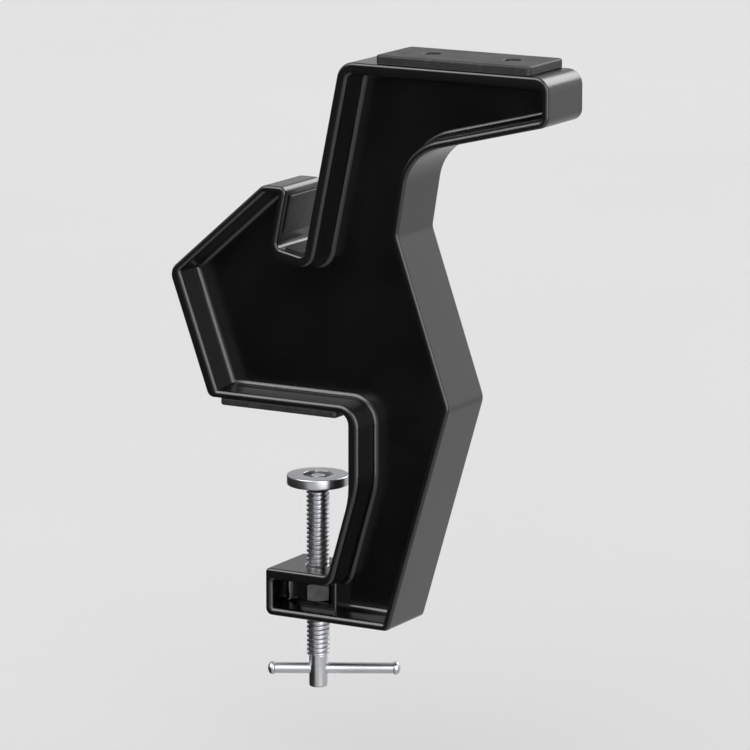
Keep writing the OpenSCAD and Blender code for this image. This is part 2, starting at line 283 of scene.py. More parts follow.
def lathe(bm, profile, steps=64, closed=True):
    """A turned shape about Z from (r, z) points; a point with r = 0 becomes a pole.

    A closed profile that stays off the axis is joined from its last point to its first.
    """
    rings = []
    for r, z in profile:
        if r < AXIS_R:
            rings.append([bm.verts.new((0, 0, z))])
        else:
            rings.append([
                bm.verts.new((r * math.cos(a), r * math.sin(a), z))
                for a in (2 * math.pi * k / steps for k in range(steps))
            ])
    for low, high in zip(rings, rings[1:]):
        if len(low) == len(high):
            bridge(bm, low, high)
        else:
            pole, ring = (low[0], high) if len(low) == 1 else (high[0], low)
            for i in range(steps):
                bm.faces.new((pole, ring[i], ring[(i + 1) % steps]))
    if closed and len(rings[0]) > 1:
        bridge(bm, rings[-1], rings[0])


def turned(name, profile, material, steps=64):
    """An object turned about Z."""
    bm = bmesh.new()
    lathe(bm, profile, steps)
    return new_object(name, bm, material)


def block(bm, low, high, r=0.0):
    """A box between two corners, with all of its edges rounded by r."""
    low, high = Vector(low), Vector(high)
    made = bmesh.ops.create_cube(bm, size=1)["verts"]
    for v in made:
        v.co = (low + high) / 2 + Vector(a * b for a, b in zip(v.co, high - low))
    if r:
        edges = list({e for v in made for e in v.link_edges})
        bmesh.ops.bevel(
            bm, geom=edges, offset=r, segments=EDGE_SEGMENTS, profile=0.5, affect="EDGES"
        )


def rod(bm, r, low, high, steps=64, flare=0.0):
    """A rod about Z; flare widens its ends by 45 degrees, to chamfer the hole it cuts."""
    profile = [(0, low)]
    if flare:
        profile += [(r + flare, low), (r, low + flare), (r, high - flare), (r + flare, high)]
    else:
        profile += [(r, low), (r, high)]
    lathe(bm, profile + [(0, high)], steps)


def shift_x(bm, before, x):
    """Moves the points that were added to a bmesh since the set before was taken."""
    for v in set(bm.verts) - before:
        v.co.x += x


def boolean(obj, tool_bm, operation="DIFFERENCE", own_overlaps=False):
    """Cuts or joins a bmesh in millimetres with obj, and keeps the result as obj's mesh."""
    tool = new_object("tool", tool_bm, None)
    modifier = obj.modifiers.new("cut", "BOOLEAN")
    modifier.operation = operation
    modifier.solver = "EXACT"
    modifier.use_self = own_overlaps
    modifier.object = tool
    evaluated = obj.evaluated_get(bpy.context.evaluated_depsgraph_get())
    mesh = bpy.data.meshes.new_from_object(evaluated)
    obj.modifiers.clear()
    old, obj.data = obj.data, mesh
    bpy.data.meshes.remove(old)
    bpy.data.objects.remove(tool)


def tidy(obj, smooth=SMOOTH):
    """Merges stray points, drops loose ones and sets the shading again."""
    bm = bmesh.new()
    bm.from_mesh(obj.data)
    bmesh.ops.remove_doubles(bm, verts=bm.verts, dist=MERGE * MM)
    bmesh.ops.dissolve_degenerate(bm, edges=bm.edges, dist=MERGE * MM)
    shade(bm, smooth)
    bm.to_mesh(obj.data)
    bm.free()


def weighted(obj):
    """Lets large flat faces stay flat beside small rounds."""
    modifier = obj.modifiers.new("weighted", "WEIGHTED_NORMAL")
    modifier.keep_sharp = True
    modifier.weight = 80


def piece(obj, body, node):
    """A finished piece rides on its body and stands for its CAD node."""
    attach(obj, body)
    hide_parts(node)


# ---------------------------------------------------------------- materials


class Tree:
    """A short way to write a node tree."""

    def __init__(self, tree):
        self.tree = tree

    def add(self, kind, **settings):
        node = self.tree.nodes.new(kind)
        for key, value in settings.items():
            setattr(node, key, value)
        return node

    def link(self, source, target):
        self.tree.links.new(source, target)

    def put(self, target, value):
        if hasattr(value, "is_output"):
            self.link(value, target)
        else:
            target.default_value = value

    def math(self, operation, a, b=0.0):
        node = self.add("ShaderNodeMath", operation=operation)
        self.put(node.inputs[0], a)
        self.put(node.inputs[1], b)
        return node.outputs["Value"]

    def dot(self, a, b):
        node = self.add("ShaderNodeVectorMath", operation="DOT_PRODUCT")
        self.put(node.inputs[0], a)
        self.put(node.inputs[1], b)
        return node.outputs["Value"]


class Material(Tree):
    """A material's node tree, with the patterns that its looks are made of."""

    def __init__(self, name):
        self.material = bpy.data.materials.new(name)
        self.material.use_nodes = True
        super().__init__(self.material.node_tree)
        self.shader = self.tree.nodes["Principled BSDF"]
        self.place = self.add("ShaderNodeTexCoord").outputs["Object"]

    def noise(self, per_metre, detail=3.0, rough=0.5, stretch=None):
        """Noise of a given number of cells per metre, from 0 to 1."""
        node = self.add("ShaderNodeTexNoise")
        node.inputs["Scale"].default_value = per_metre
        node.inputs["Detail"].default_value = detail
        node.inputs["Roughness"].default_value = rough
        if stretch:
            mapping = self.add("ShaderNodeMapping")
            mapping.inputs["Scale"].default_value = stretch
            self.link(self.place, mapping.inputs["Vector"])
            self.link(mapping.outputs["Vector"], node.inputs["Vector"])
        else:
            self.link(self.place, node.inputs["Vector"])
        return node.outputs["Fac"]

    def spread(self, value, low, high, to_low=0.0, to_high=1.0):
        """The value's run from low to high, stretched to run from to_low to to_high."""
        node = self.add("ShaderNodeMapRange", clamp=True)
        self.put(node.inputs["Value"], value)
        node.inputs["From Min"].default_value = low
        node.inputs["From Max"].default_value = high
        node.inputs["To Min"].default_value = to_low
        node.inputs["To Max"].default_value = to_high
        return node.outputs["Result"]

    def mix(self, factor, a, b):
        """Colour a at factor 0, and colour b at factor 1."""
        node = self.add("ShaderNodeMix", data_type="RGBA")
        self.put(node.inputs["Factor"], factor)
        for socket, colour in ((node.inputs[6], a), (node.inputs[7], b)):
            self.put(socket, (*colour, 1) if isinstance(colour, tuple) else colour)
        return node.outputs[2]

    def bump(self, height, distance, strength, below=None):
        """Relief of a distance in millimetres, on top of another one if it is given."""
        node = self.add("ShaderNodeBump")
        node.inputs["Strength"].default_value = strength
        node.inputs["Distance"].default_value = distance * MM
        self.link(height, node.inputs["Height"])
        if below:
            self.link(below, node.inputs["Normal"])
        return node.outputs["Normal"]

    def edges(self, radius):
        """1 on sharp outer and inner edges, fading to 0 at the radius in millimetres."""
        bevel = self.add("ShaderNodeBevel", samples=6)
        bevel.inputs["Radius"].default_value = radius * MM
        geometry = self.add("ShaderNodeNewGeometry")
        alike = self.dot(bevel.outputs["Normal"], geometry.outputs["Normal"])
        return self.spread(alike, 0.998, 0.93)

    def painted_front_light(self):
        """1 on the outermost faces of the casting, where a lighter colour is painted: painted
        light that makes the deeper webs of the pockets read as shaded.
        """
        split = self.add("ShaderNodeSeparateXYZ")
        self.link(self.place, split.inputs[0])
        out = self.math("ABSOLUTE", split.outputs["Y"])
        return self.spread(out, (HALF_T - 0.8) * MM, (HALF_T - 0.1) * MM)

    def finish(self, colour, roughness, normal=None, **inputs):
        """Fills the shader's inputs; other inputs are named with _ for a space."""
        self.put(self.shader.inputs["Base Color"], colour)
        self.put(self.shader.inputs["Roughness"], roughness)
        if normal:
            self.link(normal, self.shader.inputs["Normal"])
        for name, value in inputs.items():
            self.put(self.shader.inputs[name.replace("_", " ")], value)
        return self.material


def black_paint():
    """Semi-gloss black coat on a casting: orange peel, dusty patches, faintly rubbed edges, and
    painted light on its outermost faces, so that the pockets read as shaded.
    """
    n = Material("cast_black_paint")
    peel = n.noise(700, 2, 0.4)
    grain = n.noise(3500, 2, 0.5)
    cloud = n.noise(25, 4, 0.6)
    worn = n.math("MULTIPLY", n.edges(0.7), n.spread(n.noise(160, 4, 0.7), 0.45, 0.7))
    coat, dusty = (0.0016, 0.0018, 0.002), (0.0032, 0.0035, 0.0038)
    colour = n.mix(n.spread(cloud, 0.3, 0.75), coat, dusty)
    # Painted light: the outermost faces are coloured lighter than the webs, standing in for the
    # shade inside the pockets
    colour = n.mix(n.painted_front_light(), colour, (0.0062, 0.0065, 0.0068))
    colour = n.mix(n.math("MULTIPLY", worn, 0.5), colour, (0.06, 0.062, 0.065))
    rough = n.spread(cloud, 0.3, 0.7, 0.19, 0.26)
    rough = n.math("ADD", rough, n.math("MULTIPLY", worn, 0.1))
    normal = n.bump(grain, 0.02, 0.5, n.bump(peel, 0.09, 0.45))
    return n.finish(colour, rough, normal, Specular_IOR_Level=0.72)


def pad_rubber():
    """Dark grey rubber: moulded grain, fine pits, cloudy patches and scuffs on its high spots."""
    n = Material("pad_rubber")
    grain = n.noise(1100, 4, 0.65)
    pits = n.spread(n.noise(2600, 2, 0.5), 0.3, 0.42)
    cloud = n.noise(60, 4, 0.6)
    scuff = n.spread(n.noise(200, 5, 0.75, (1, 0.3, 1)), 0.55, 0.7)
    colour = n.mix(n.spread(cloud, 0.3, 0.7), (0.01, 0.0105, 0.0105), (0.018, 0.0185, 0.018))
    high_spots = n.math("MAXIMUM", scuff, n.edges(0.9))
    colour = n.mix(n.spread(grain, 0.35, 0.7, 0.0, 0.5), colour, (0.034, 0.0345, 0.034))
    colour = n.mix(n.math("MULTIPLY", high_spots, 0.35), colour, (0.1, 0.1, 0.098))
    rough = n.spread(cloud, 0.3, 0.7, 0.34, 0.46)
    normal = n.bump(pits, 0.12, 0.5, n.bump(grain, 0.3, 0.55))
    return n.finish(colour, rough, normal, Specular_IOR_Level=0.42)


def zinc_plate(name, tint, rough):
    """Bright plated steel: turning marks round the axis, a cloudy film and small dull spots."""
    n = Material(name)
    turning = n.noise(500, 3, 0.7, (0.15, 0.15, 9))
    cloud = n.noise(90, 4, 0.6)
    spots = n.spread(n.noise(900, 3, 0.7), 0.62, 0.72)
    dark = tuple(c * 0.82 for c in tint)
    colour = n.mix(n.spread(cloud, 0.3, 0.7), tint, dark)
    colour = n.mix(n.math("MULTIPLY", spots, 0.35), colour, (0.42, 0.42, 0.43))
    shine = n.spread(cloud, 0.3, 0.75, rough, rough + 0.12)
    shine = n.math("ADD", shine, n.math("MULTIPLY", spots, 0.15))
    return n.finish(colour, shine, n.bump(turning, 0.006, 0.6), Metallic=1.0)


def dark_steel():
    """Blackened steel with brighter, rubbed edges."""
    n = Material("dark_steel")
    cloud = n.noise(260, 4, 0.6)
    edge = n.edges(0.5)
    colour = n.mix(n.spread(cloud, 0.3, 0.7), (0.045, 0.045, 0.048), (0.08, 0.08, 0.082))
    colour = n.mix(n.math("MULTIPLY", edge, 0.5), colour, (0.3, 0.3, 0.31))
    rough = n.spread(cloud, 0.3, 0.7, 0.32, 0.46)
    normal = n.bump(n.noise(1800, 3, 0.6), 0.01, 0.5)
    return n.finish(colour, rough, normal, Metallic=1.0)


PAINT = black_paint()
RUBBER = pad_rubber()
ZINC = zinc_plate("bright_zinc", (0.56, 0.57, 0.59), 0.26)
SCREW_ZINC = zinc_plate("screw_zinc", (0.34, 0.34, 0.35), 0.28)
DARK = dark_steel()


# ---------------------------------------------------------------- casting

# Rounds of the outer edge, the pocket's mouth and its floor, and the draft of its wall
EDGE_R = 1.2
RIM_R = 1.7
FLOOR_R = 2.4
DRAFT = 0.6

# Corner radii of the pocket where it ends under the thicker rim of the jaw
THROAT_POCKET_R = 6
END_POCKET_R = 1.5

# The nut's cell: how far it stays inside the jaw, its corners and the chamfer of its mouth
CELL_SHY = 1
CELL_CORNER_R = 1
CELL_EDGE = 0.7

# Chamfer of the screw's bore in the jaw
BORE_EDGE = 0.9

# How far cutting tools reach past what they cut, and the room between fitted pieces
BORE_OVER = 0.3
WEB_OVER = 0.5
GAP = 0.02


def casting_rings(outline, pocket, side):
    """Rings of one half of the casting, from its side over the rim to the pocket's floor."""

    def ring(corners, d, depth):
        y = side * (HALF_T - depth)
        return [(p.x, y, p.y) for p in rounded(inset(corners, d))]

    pocket_depth = HALF_T - WEB_HALF
    rings = [ring(outline, out, EDGE_R - up) for out, up in arc(5, EDGE_R)]
    rings += [ring(pocket, up - RIM_R, out) for out, up in arc(4, RIM_R)]
    wall = pocket_depth - FLOOR_R
    rings += [ring(pocket, DRAFT + out, wall + up) for out, up in arc(6, FLOOR_R)]
    return rings


def pocket_corners(outline):
    """The pocket follows the frame inside its rim, under a thicker rim on top of the jaw."""
    rims = [RIM_LOAD_W if i in LOADED_SIDES else RIM_W for i in range(len(outline))]
    ring = inset(outline, rims)
    bend_x, bend_z, _ = ring[-3]
    x = bend_x - (bend_z - JAW_ROOF) * math.tan(THROAT_LEAN)
    return ring[:-2] + [(x, JAW_ROOF, THROAT_POCKET_R), (ring[0][0], JAW_ROOF, END_POCKET_R)]


def build_casting():
    """The cast frame: both pocketed halves, the nut's cell, bores, screw holes and recesses."""
    outline = frame_corners()
    pocket = pocket_corners(outline)
    bm = bmesh.new()
    first = []
    for side in (-1, 1):
        rings = [[bm.verts.new(p) for p in r] for r in casting_rings(outline, pocket, side)]
        for low, high in zip(rings, rings[1:]):
            bridge(bm, low, high)
        bm.faces.new(rings[-1])
        first.append(rings[0])
    bridge(bm, *first)
    casting = new_object("cast_frame", bm, PAINT)

    boolean(casting, nut_cell(), "UNION")
    for side in (-1, 0, 1):
        boolean(casting, nut_room(side))
    bore = bmesh.new()
    rod(bore, JAW_HOLE_R, JAW_BOTTOM - BORE_OVER, JAW_TOP + BORE_OVER, flare=BORE_EDGE)
    boolean(casting, bore)
    for node in ("arm_pad_screws", "jaw_pad_screws"):
        boolean(casting, screw_holes(node))
    for name in ("column", "lip", "slot"):
        recess = bmesh.new()
        strip_block(recess, name, grow=GAP)
        boolean(casting, recess)
    tidy(casting)
    weighted(casting)
    piece(casting, "frame", "frame")


def nut_cell():
    """Block around the nut on both sides of the web, round at its inboard end."""
    left, right = -NUT_AF / 2, NUT_AF / 2 + CELL_ROOM + CELL_WALL
    plan = rounded([
        (left, -CELL_Y, CELL_END_R), (right, -CELL_Y, CELL_CORNER_R),
        (right, CELL_Y, CELL_CORNER_R), (left, CELL_Y, CELL_END_R),
    ])
    bm = bmesh.new()
    ends = (JAW_BOTTOM + CELL_SHY, JAW_TOP - CELL_SHY)
    low, high = ([bm.verts.new((p.x, p.y, z)) for p in plan] for z in ends)
    bridge(bm, low, high)
    bm.faces.new(low)
    bm.faces.new(high)
    return bm


def nut_room(side):
    """Room for the nut: in the web for side 0, or wider and open to one side, with a chamfer."""
    half_w, half_h = NUT_AF / 2 + GAP, NUT_H / 2 + GAP
    through = WEB_HALF + WEB_OVER
    bm = bmesh.new()
    if side == 0:
        block(bm, (-half_w, -through, NUT_Z - half_h), (half_w, through, NUT_Z + half_h))
        return bm
    rings = []
    depths = (WEB_HALF, 0), (CELL_Y - CELL_EDGE, 0), (CELL_Y, CELL_EDGE), (HALF_T, CELL_EDGE)
    for y, flare in depths:
        x0, x1 = -half_w - CELL_SHY, half_w + CELL_ROOM + flare
        z0, z1 = NUT_Z - half_h - flare, NUT_Z + half_h + flare
        mouth = (x0, z0), (x1, z0), (x1, z1), (x0, z1)
        rings.append([bm.verts.new((x, side * y, z)) for x, z in mouth])
    for a, b in zip(rings, rings[1:]):
        bridge(bm, a, b)
    bm.faces.new(rings[0])
    bm.faces.new(rings[-1])
    return bm


# ---------------------------------------------------------------- pads

# Rubber strips of the slot, bonded into recesses
STRIP_W = 22
STRIP_T = 2.5
STRIP_PROUD = 1
STRIP_EDGE = 0.5
RECESS_OVER = 1
STRIPS = {
    # name: (foot of the strip, direction along it, direction out of the metal, length)
    "column": (SLOT_FOOT + 12 * SLOT_UP, SLOT_UP, SLOT_OUT, 60),
    "lip": (SLOT_FOOT + SLOT_W * SLOT_OUT + 6 * SLOT_UP, SLOT_UP, -SLOT_OUT, 17),
    "slot": (SLOT_FOOT + 2.25 * SLOT_OUT, SLOT_OUT, SLOT_UP, 9.5),
}


def strip_block(bm, name, grow=0.0, r=0.0):
    """A strip's block on its slot face, or with grow the recess that it is bonded into."""
    foot, along, out, length = STRIPS[name]
    half = STRIP_W / 2 + grow
    top = STRIP_PROUD + (RECESS_OVER if grow else 0)
    block(bm, (-grow, -half, STRIP_PROUD - STRIP_T - grow), (length + grow, half, top), r)
    turn = Matrix((
        (along.x, 0, out.x, foot.x), (0, 1, 0, 0), (along.y, 0, out.y, foot.y), (0, 0, 0, 1)
    ))
    for v in bm.verts:
        v.co = turn @ v.co


def build_strips():
    """The three rubber strips of the board slot."""
    for name in STRIPS:
        bm = bmesh.new()
        strip_block(bm, name, r=STRIP_EDGE)
        obj = new_object(name + "_rubber", bm, RUBBER)
        weighted(obj)
        piece(obj, "frame", name + "_strip")


# Pads: corners in plan, the round of the open face, and the chamfer against the metal
PAD_CORNER_R = 2
PAD_CORNER_STEP = 15
PAD_EDGE = 0.9
PAD_FOOT = 0.35

# Counterbores in the pads, with the holes below them in the rubber and in the metal
SINK_R = 3.8
SINK_EDGE = 0.3
PAD_HOLE_R = 1.8
SHANK_HOLE_R = 1.62

# Pan-head screws: the shank, the head and how far it lies below the pad's face, and the cross
SHANK_R = 1.6
PAN_R = 3.4
PAN_T = 1.6
PAN_TOP_SHARE = 0.72
PAN_DROP = 0.6
CROSS_REACH = 2
CROSS_HALF = 0.45
CROSS_DEPTH = 0.9


def screw_places(node):
    """The axes of the two screws of a pad, and the heights of their ends."""
    low, high = node_box(node)
    r = (high.y - low.y) / 2
    return (low.x + r, high.x - r), low.z, high.z


def screw_holes(node):
    """The two shank holes of a pad's screws, in the metal."""
    bm = bmesh.new()
    xs, low, high = screw_places(node)
    for x in xs:
        before = set(bm.verts)
        rod(bm, SHANK_HOLE_R, low, high, 24)
        shift_x(bm, before, x)
    return bm


def pad_ring(low, high, d, z):
    """A pad's outline at a height, moved inwards by d."""
    plan = (low.x, low.y), (high.x, low.y), (high.x, high.y), (low.x, high.y)
    corners = [(x, y, PAD_CORNER_R) for x, y in plan]
    return [(p.x, p.y, z) for p in rounded(inset(corners, d), PAD_CORNER_STEP)]


def build_pad(node, name, up):
    """A rubber pad with soft edges and two counterbored screw holes; up is its open side."""
    low, high = node_box(node)
    base, face = (low.z, high.z) if up > 0 else (high.z, low.z)
    bm = bmesh.new()
    profile = [(PAD_FOOT, base), (0, base + up * PAD_FOOT)]
    profile += [(out, face - up * (PAD_EDGE - rise)) for out, rise in arc(5, PAD_EDGE)]
    rings = [[bm.verts.new(p) for p in pad_ring(low, high, d, z)] for d, z in profile]
    for a, b in zip(rings, rings[1:]):
        bridge(bm, a, b)
    bm.faces.new(rings[0])
    bm.faces.new(rings[-1])
    pad = new_object(name, bm, RUBBER)
    xs, _, _ = screw_places(node + "_screws")
    seat = face - up * (PAN_DROP + PAN_T)
    holes = bmesh.new()
    for x in xs:
        before = set(holes.verts)
        lathe(holes, [
            (0, base - up), (PAD_HOLE_R, base - up), (PAD_HOLE_R, seat), (SINK_R, seat),
            (SINK_R, face - up * SINK_EDGE), (SINK_R + SINK_EDGE, face),
            (SINK_R + SINK_EDGE, face + up), (0, face + up),
        ], 40)
        shift_x(holes, before, x)
    boolean(pad, holes)
    tidy(pad)
    weighted(pad)
    piece(pad, "frame", node)
    build_screws(node + "_screws", seat, up)


def build_screws(node, seat, up):
    """Pan-head screws with a cross recess."""
    xs, low, high = screw_places(node)
    end = low if up > 0 else high
    top = seat + up * PAN_T
    head = fillet(
        [(0, end), (SHANK_R, end), (SHANK_R, seat), (PAN_R, seat),
         (PAN_R, (seat + top) / 2), (PAN_R * PAN_TOP_SHARE, top), (0, top)],
        [0.3, 0, 0.1, 0.7, 1.5],
    )
    bm = bmesh.new()
    cross = bmesh.new()
    for x in xs:
        before = set(bm.verts)
        lathe(bm, head, 40)
        shift_x(bm, before, x)
        low, high = sorted((top - up * CROSS_DEPTH, top + up))
        for a, b in ((CROSS_REACH, CROSS_HALF), (CROSS_HALF, CROSS_REACH)):
            block(cross, (x - a, -b, low), (x + a, b, high))
    screws = new_object(node.replace("_screws", "_fixings"), bm, SCREW_ZINC)
    boolean(screws, cross, own_overlaps=True)
    tidy(screws)
    piece(screws, "frame", node)


# ---------------------------------------------------------------- clamp screw

# Thread: where it starts, its gap to the shoulder, its run-outs, and its crest's gap to SCREW_R
THREAD_LOW = -110.0
THREAD_SHY = 0.3
THREAD_FADE = 1.3
CREST_SHY = 0.03

# Its form, as the shares of half a pitch in its root and in its flank, and its mesh: points
# round a turn, rows to a pitch, and the greatest angle of a smooth edge
THREAD_ROOT = 0.22
THREAD_FLANK = 0.34
THREAD_STEPS = 48
THREAD_ROWS = 10
THREAD_SMOOTH = 50

# Plain head with the bar's hole, and the neck with the snap ring's groove above the shoulder
HEAD_LOW = node_box("spindle")[0].z
SHOULDER = node_box("thrust_washer")[0].z
NECK_TOP = node_box("spindle")[1].z
NECK_R = 3
GROOVE_R = 2.3
BAR_HOLE_R = 2.45

# Bar: its height, the studs at its ends, and the domed caps with their sockets
BAR_Z = (node_box("tommy_bar")[0].z + node_box("tommy_bar")[1].z) / 2
STUD_STEP = 0.7
STUD_L = 2
SOCKET_L = 2.05
CAP_L = 3.0
CAP_DOME_Z = 1.1
CAP_DOME_STEPS = 8
CAP_FOOT = 0.35
CAP_SHY = 0.1


def thread_radius(phase):
    """Trapezoidal thread form: crest, flank, root, flank over one pitch."""
    t = abs((phase % 1) - 0.5) * 2
    share = min(1.0, max(0.0, (t - THREAD_ROOT) / THREAD_FLANK))
    return SCREW_R - CREST_SHY - (SCREW_R - THREAD_R) * (1 - share)


def smooth_step(x):
    """0 below 0 and 1 above 1, with a soft rise between them."""
    x = min(1.0, max(0.0, x))
    return x * x * (3 - 2 * x)


def add_thread(bm, low, high, end_r):
    """Helical grid between two heights, fading to end_r over a short run-out at both ends."""
    steps, rows = THREAD_STEPS, THREAD_ROWS
    turns = math.ceil((high - low) / PITCH) + 2
    grid = []
    for j in range(-rows, turns * rows + 1):
        row = []
        for i in range(steps):
            z = low + (j / rows + i / steps) * PITCH
            z = min(max(z, low), high)
            full = smooth_step((z - low) / THREAD_FADE) * smooth_step((high - z) / THREAD_FADE)
            r = end_r + (thread_radius(j / rows) - end_r) * full
            a = 2 * math.pi * (i / steps)
            row.append(bm.verts.new((r * math.cos(a), r * math.sin(a), z)))
        grid.append(row)
    for j in range(len(grid) - 1):
        for i in range(steps - 1):
            bm.faces.new((grid[j][i], grid[j][i + 1], grid[j + 1][i + 1], grid[j + 1][i]))
        if j + rows + 1 < len(grid):
            above, last = grid[j + rows + 1], grid[j + rows]
            bm.faces.new((grid[j][-1], last[0], above[0], grid[j + 1][-1]))


def build_spindle():
    """The clamp screw: plain head, trapezoidal thread, shoulder and grooved neck."""
    bm = bmesh.new()
    ring_low, ring_high = node_box("retaining_ring")
    groove_low, groove_high = ring_low.z - GAP, ring_high.z + GAP
    thread_top = SHOULDER - THREAD_SHY
    add_thread(bm, THREAD_LOW, thread_top, HEAD_R)
    head = fillet([(0, HEAD_LOW), (HEAD_R, HEAD_LOW), (HEAD_R, THREAD_LOW)], [0.9])
    lathe(bm, head, THREAD_STEPS, closed=False)
    neck = [
        (HEAD_R, thread_top), (HEAD_R, SHOULDER), (NECK_R, SHOULDER), (NECK_R, groove_low),
        (GROOVE_R, groove_low), (GROOVE_R, groove_high), (NECK_R, groove_high),
        (NECK_R, NECK_TOP), (0, NECK_TOP),
    ]
    lathe(bm, fillet(neck, [0.2, 0, 0, 0, 0, 0, 0.4]), THREAD_STEPS, closed=False)
    bmesh.ops.remove_doubles(bm, verts=bm.verts, dist=MERGE)
    bmesh.ops.dissolve_degenerate(bm, edges=bm.edges, dist=MERGE)
    spindle = new_object("clamp_spindle", bm, ZINC, THREAD_SMOOTH)
    hole = bmesh.new()
    rod(hole, BAR_HOLE_R, -2 * HEAD_R, 2 * HEAD_R, 40)
    along_bar(hole, 0)
    boolean(spindle, hole)
    tidy(spindle, THREAD_SMOOTH)
    piece(spindle, "screw", "spindle")


def along_bar(bm, shift):
    """Turns a bmesh built about Z to run along the bar, shift from the spindle's axis."""
    turn = (
        Matrix.Translation((0, 0, BAR_Z))
        @ Matrix.Rotation(BAR_ANGLE, 4, "Z")
        @ Matrix.Translation((shift, 0, 0))
        @ Matrix.Rotation(math.pi / 2, 4, "Y")
    )
    bmesh.ops.transform(bm, matrix=turn, verts=bm.verts)


def build_bar():
    """The sliding bar with a stud at each end, and the caps on the studs."""
    low, high = node_box("tommy_bar")
    bar_r = (high.z - low.z) / 2
    middle = (low + high) / 2
    shift = Vector((math.cos(BAR_ANGLE), math.sin(BAR_ANGLE))).dot(middle.xy)
    (low_a, high_a), (low_b, high_b) = node_box("bar_cap_inner"), node_box("bar_cap_outer")
    span = ((high_b.x + low_b.x) - (high_a.x + low_a.x)) / 2
    half = span / math.cos(BAR_ANGLE) / 2 - CAP_L / 2
    stud_r, stud_end = bar_r - STUD_STEP, half + STUD_L
    bar = bmesh.new()
    lathe(bar, [(0, -stud_end), (stud_r, -stud_end), (stud_r, -half), (bar_r, -half),
                (bar_r, half), (stud_r, half), (stud_r, stud_end), (0, stud_end)], 48)
    along_bar(bar, shift)
    piece(new_object("sliding_bar", bar, ZINC), "bar", "tommy_bar")

    profile = cap_profile(bar_r, stud_r, (high_a.z - low_a.z) / 2)
    caps = ("bar_end_a", "bar_cap_inner", -1), ("bar_end_b", "bar_cap_outer", 1)
    for name, node, sign in caps:
        cap = bmesh.new()
        lathe(cap, [(r, sign * (half + z)) for r, z in profile], 48)
        along_bar(cap, shift)
        piece(new_object(name, cap, ZINC), "bar", node)


def cap_profile(bar_r, stud_r, cap_r):
    """A cap in section, as (r, z) from the end of its socket round to the top of its dome."""
    turns = [math.pi / 2 * k / CAP_DOME_STEPS for k in range(CAP_DOME_STEPS + 1)]
    rise = CAP_L - CAP_DOME_Z
    dome = [(cap_r * math.cos(a), CAP_DOME_Z + rise * math.sin(a)) for a in turns]
    socket = [(0, SOCKET_L), (stud_r + GAP, SOCKET_L), (stud_r + GAP, GAP)]
    side = fillet([(bar_r - CAP_SHY, GAP), (cap_r, CAP_FOOT), dome[0]], [0.3])
    return socket + side + dome[1:-1] + [(0, CAP_L)]


# ---------------------------------------------------------------- foot, washer, ring and nut

# Spherical seat of the foot on the domed washer
SEAT_R = 9
WASHER_R = 6
WASHER_HOLE_R = 3.05
WASHER_EDGE = 0.8
SEAT_CENTRE = SHOULDER - GAP + WASHER_EDGE - math.sqrt(SEAT_R ** 2 - WASHER_R ** 2)

# Foot: its bore, the recess in its upper face, and the mouth of its seat below
FOOT_BORE_R = 3.9
RECESS_R = 6.5
RECESS_T = 2
FOOT_SEAT_R = 8

# Snap ring: its radii, half of its opening as an angle, and the chamfer that the washer shares
RING_R = 5.4
RING_HOLE_R = 2.32
RING_GAP = math.radians(18)
RING_STEPS = 40
SMALL_EDGE = 0.15

# Nut: the turned chamfer of its corners, its rubbed edges and the room in its bore
NUT_FACE_SHY = 0.2
NUT_CORNER_OVER = 0.4
NUT_CORNER_DROP = 0.9
NUT_EDGE = 0.12
NUT_BORE_ROOM = 0.05


def sphere_arc(centre, r, low, high):
    """Points (radius, z) along a sphere about the axis between two heights."""
    n = 8
    heights = [low + (high - low) * k / n for k in range(n + 1)]
    return [(math.sqrt(max(0.0, r * r - (z - centre) ** 2)), z) for z in heights]


def build_foot():
    """The swivel foot: a disc on a spherical seat, with a recess in its upper face."""
    low, high = node_box("swivel_foot")
    r = high.x
    floor = high.z - RECESS_T
    seat_r = SEAT_R + GAP
    seat_high = SEAT_CENTRE + math.sqrt(seat_r ** 2 - FOOT_BORE_R ** 2)
    outer = fillet(
        [(FOOT_SEAT_R, low.z), (r, low.z), (r, high.z), (RECESS_R, high.z),
         (RECESS_R, floor), (FOOT_BORE_R, floor)],
        [0.9, 0.6, 0.25, 0.4],
    )
    profile = sphere_arc(SEAT_CENTRE, seat_r, seat_high, low.z) + outer
    foot = turned("foot_disc", profile, ZINC, 96)
    piece(foot, "foot", "swivel_foot")


def build_washer():
    """The domed washer under the foot."""
    low, _ = node_box("thrust_washer")
    dome_high = SEAT_CENTRE + math.sqrt(SEAT_R ** 2 - WASHER_HOLE_R ** 2)
    profile = [
        (WASHER_HOLE_R, low.z), (WASHER_R - SMALL_EDGE, low.z), (WASHER_R, low.z + SMALL_EDGE),
    ]
    profile += sphere_arc(SEAT_CENTRE, SEAT_R, low.z + WASHER_EDGE, dome_high)
    washer = turned("domed_washer", profile, DARK)
    piece(washer, "carriage", "thrust_washer")


def build_ring():
    """Snap ring in the neck's groove, open on one side."""
    low, high = node_box("retaining_ring")
    bm = bmesh.new()
    sweep = 2 * math.pi - 2 * RING_GAP
    angles = [RING_GAP + sweep * k / RING_STEPS for k in range(RING_STEPS + 1)]
    section = [
        (RING_HOLE_R, low.z), (RING_R - SMALL_EDGE, low.z), (RING_R, low.z + SMALL_EDGE),
        (RING_R, high.z - SMALL_EDGE), (RING_R - SMALL_EDGE, high.z), (RING_HOLE_R, high.z),
    ]
    rings = [
        [bm.verts.new((r * math.cos(a), r * math.sin(a), z)) for r, z in section] for a in angles
    ]
    for a, b in zip(rings, rings[1:]):
        bridge(bm, a, b)
    bm.faces.new(rings[0])
    bm.faces.new(rings[-1])
    piece(new_object("snap_ring", bm, DARK), "screw", "retaining_ring")


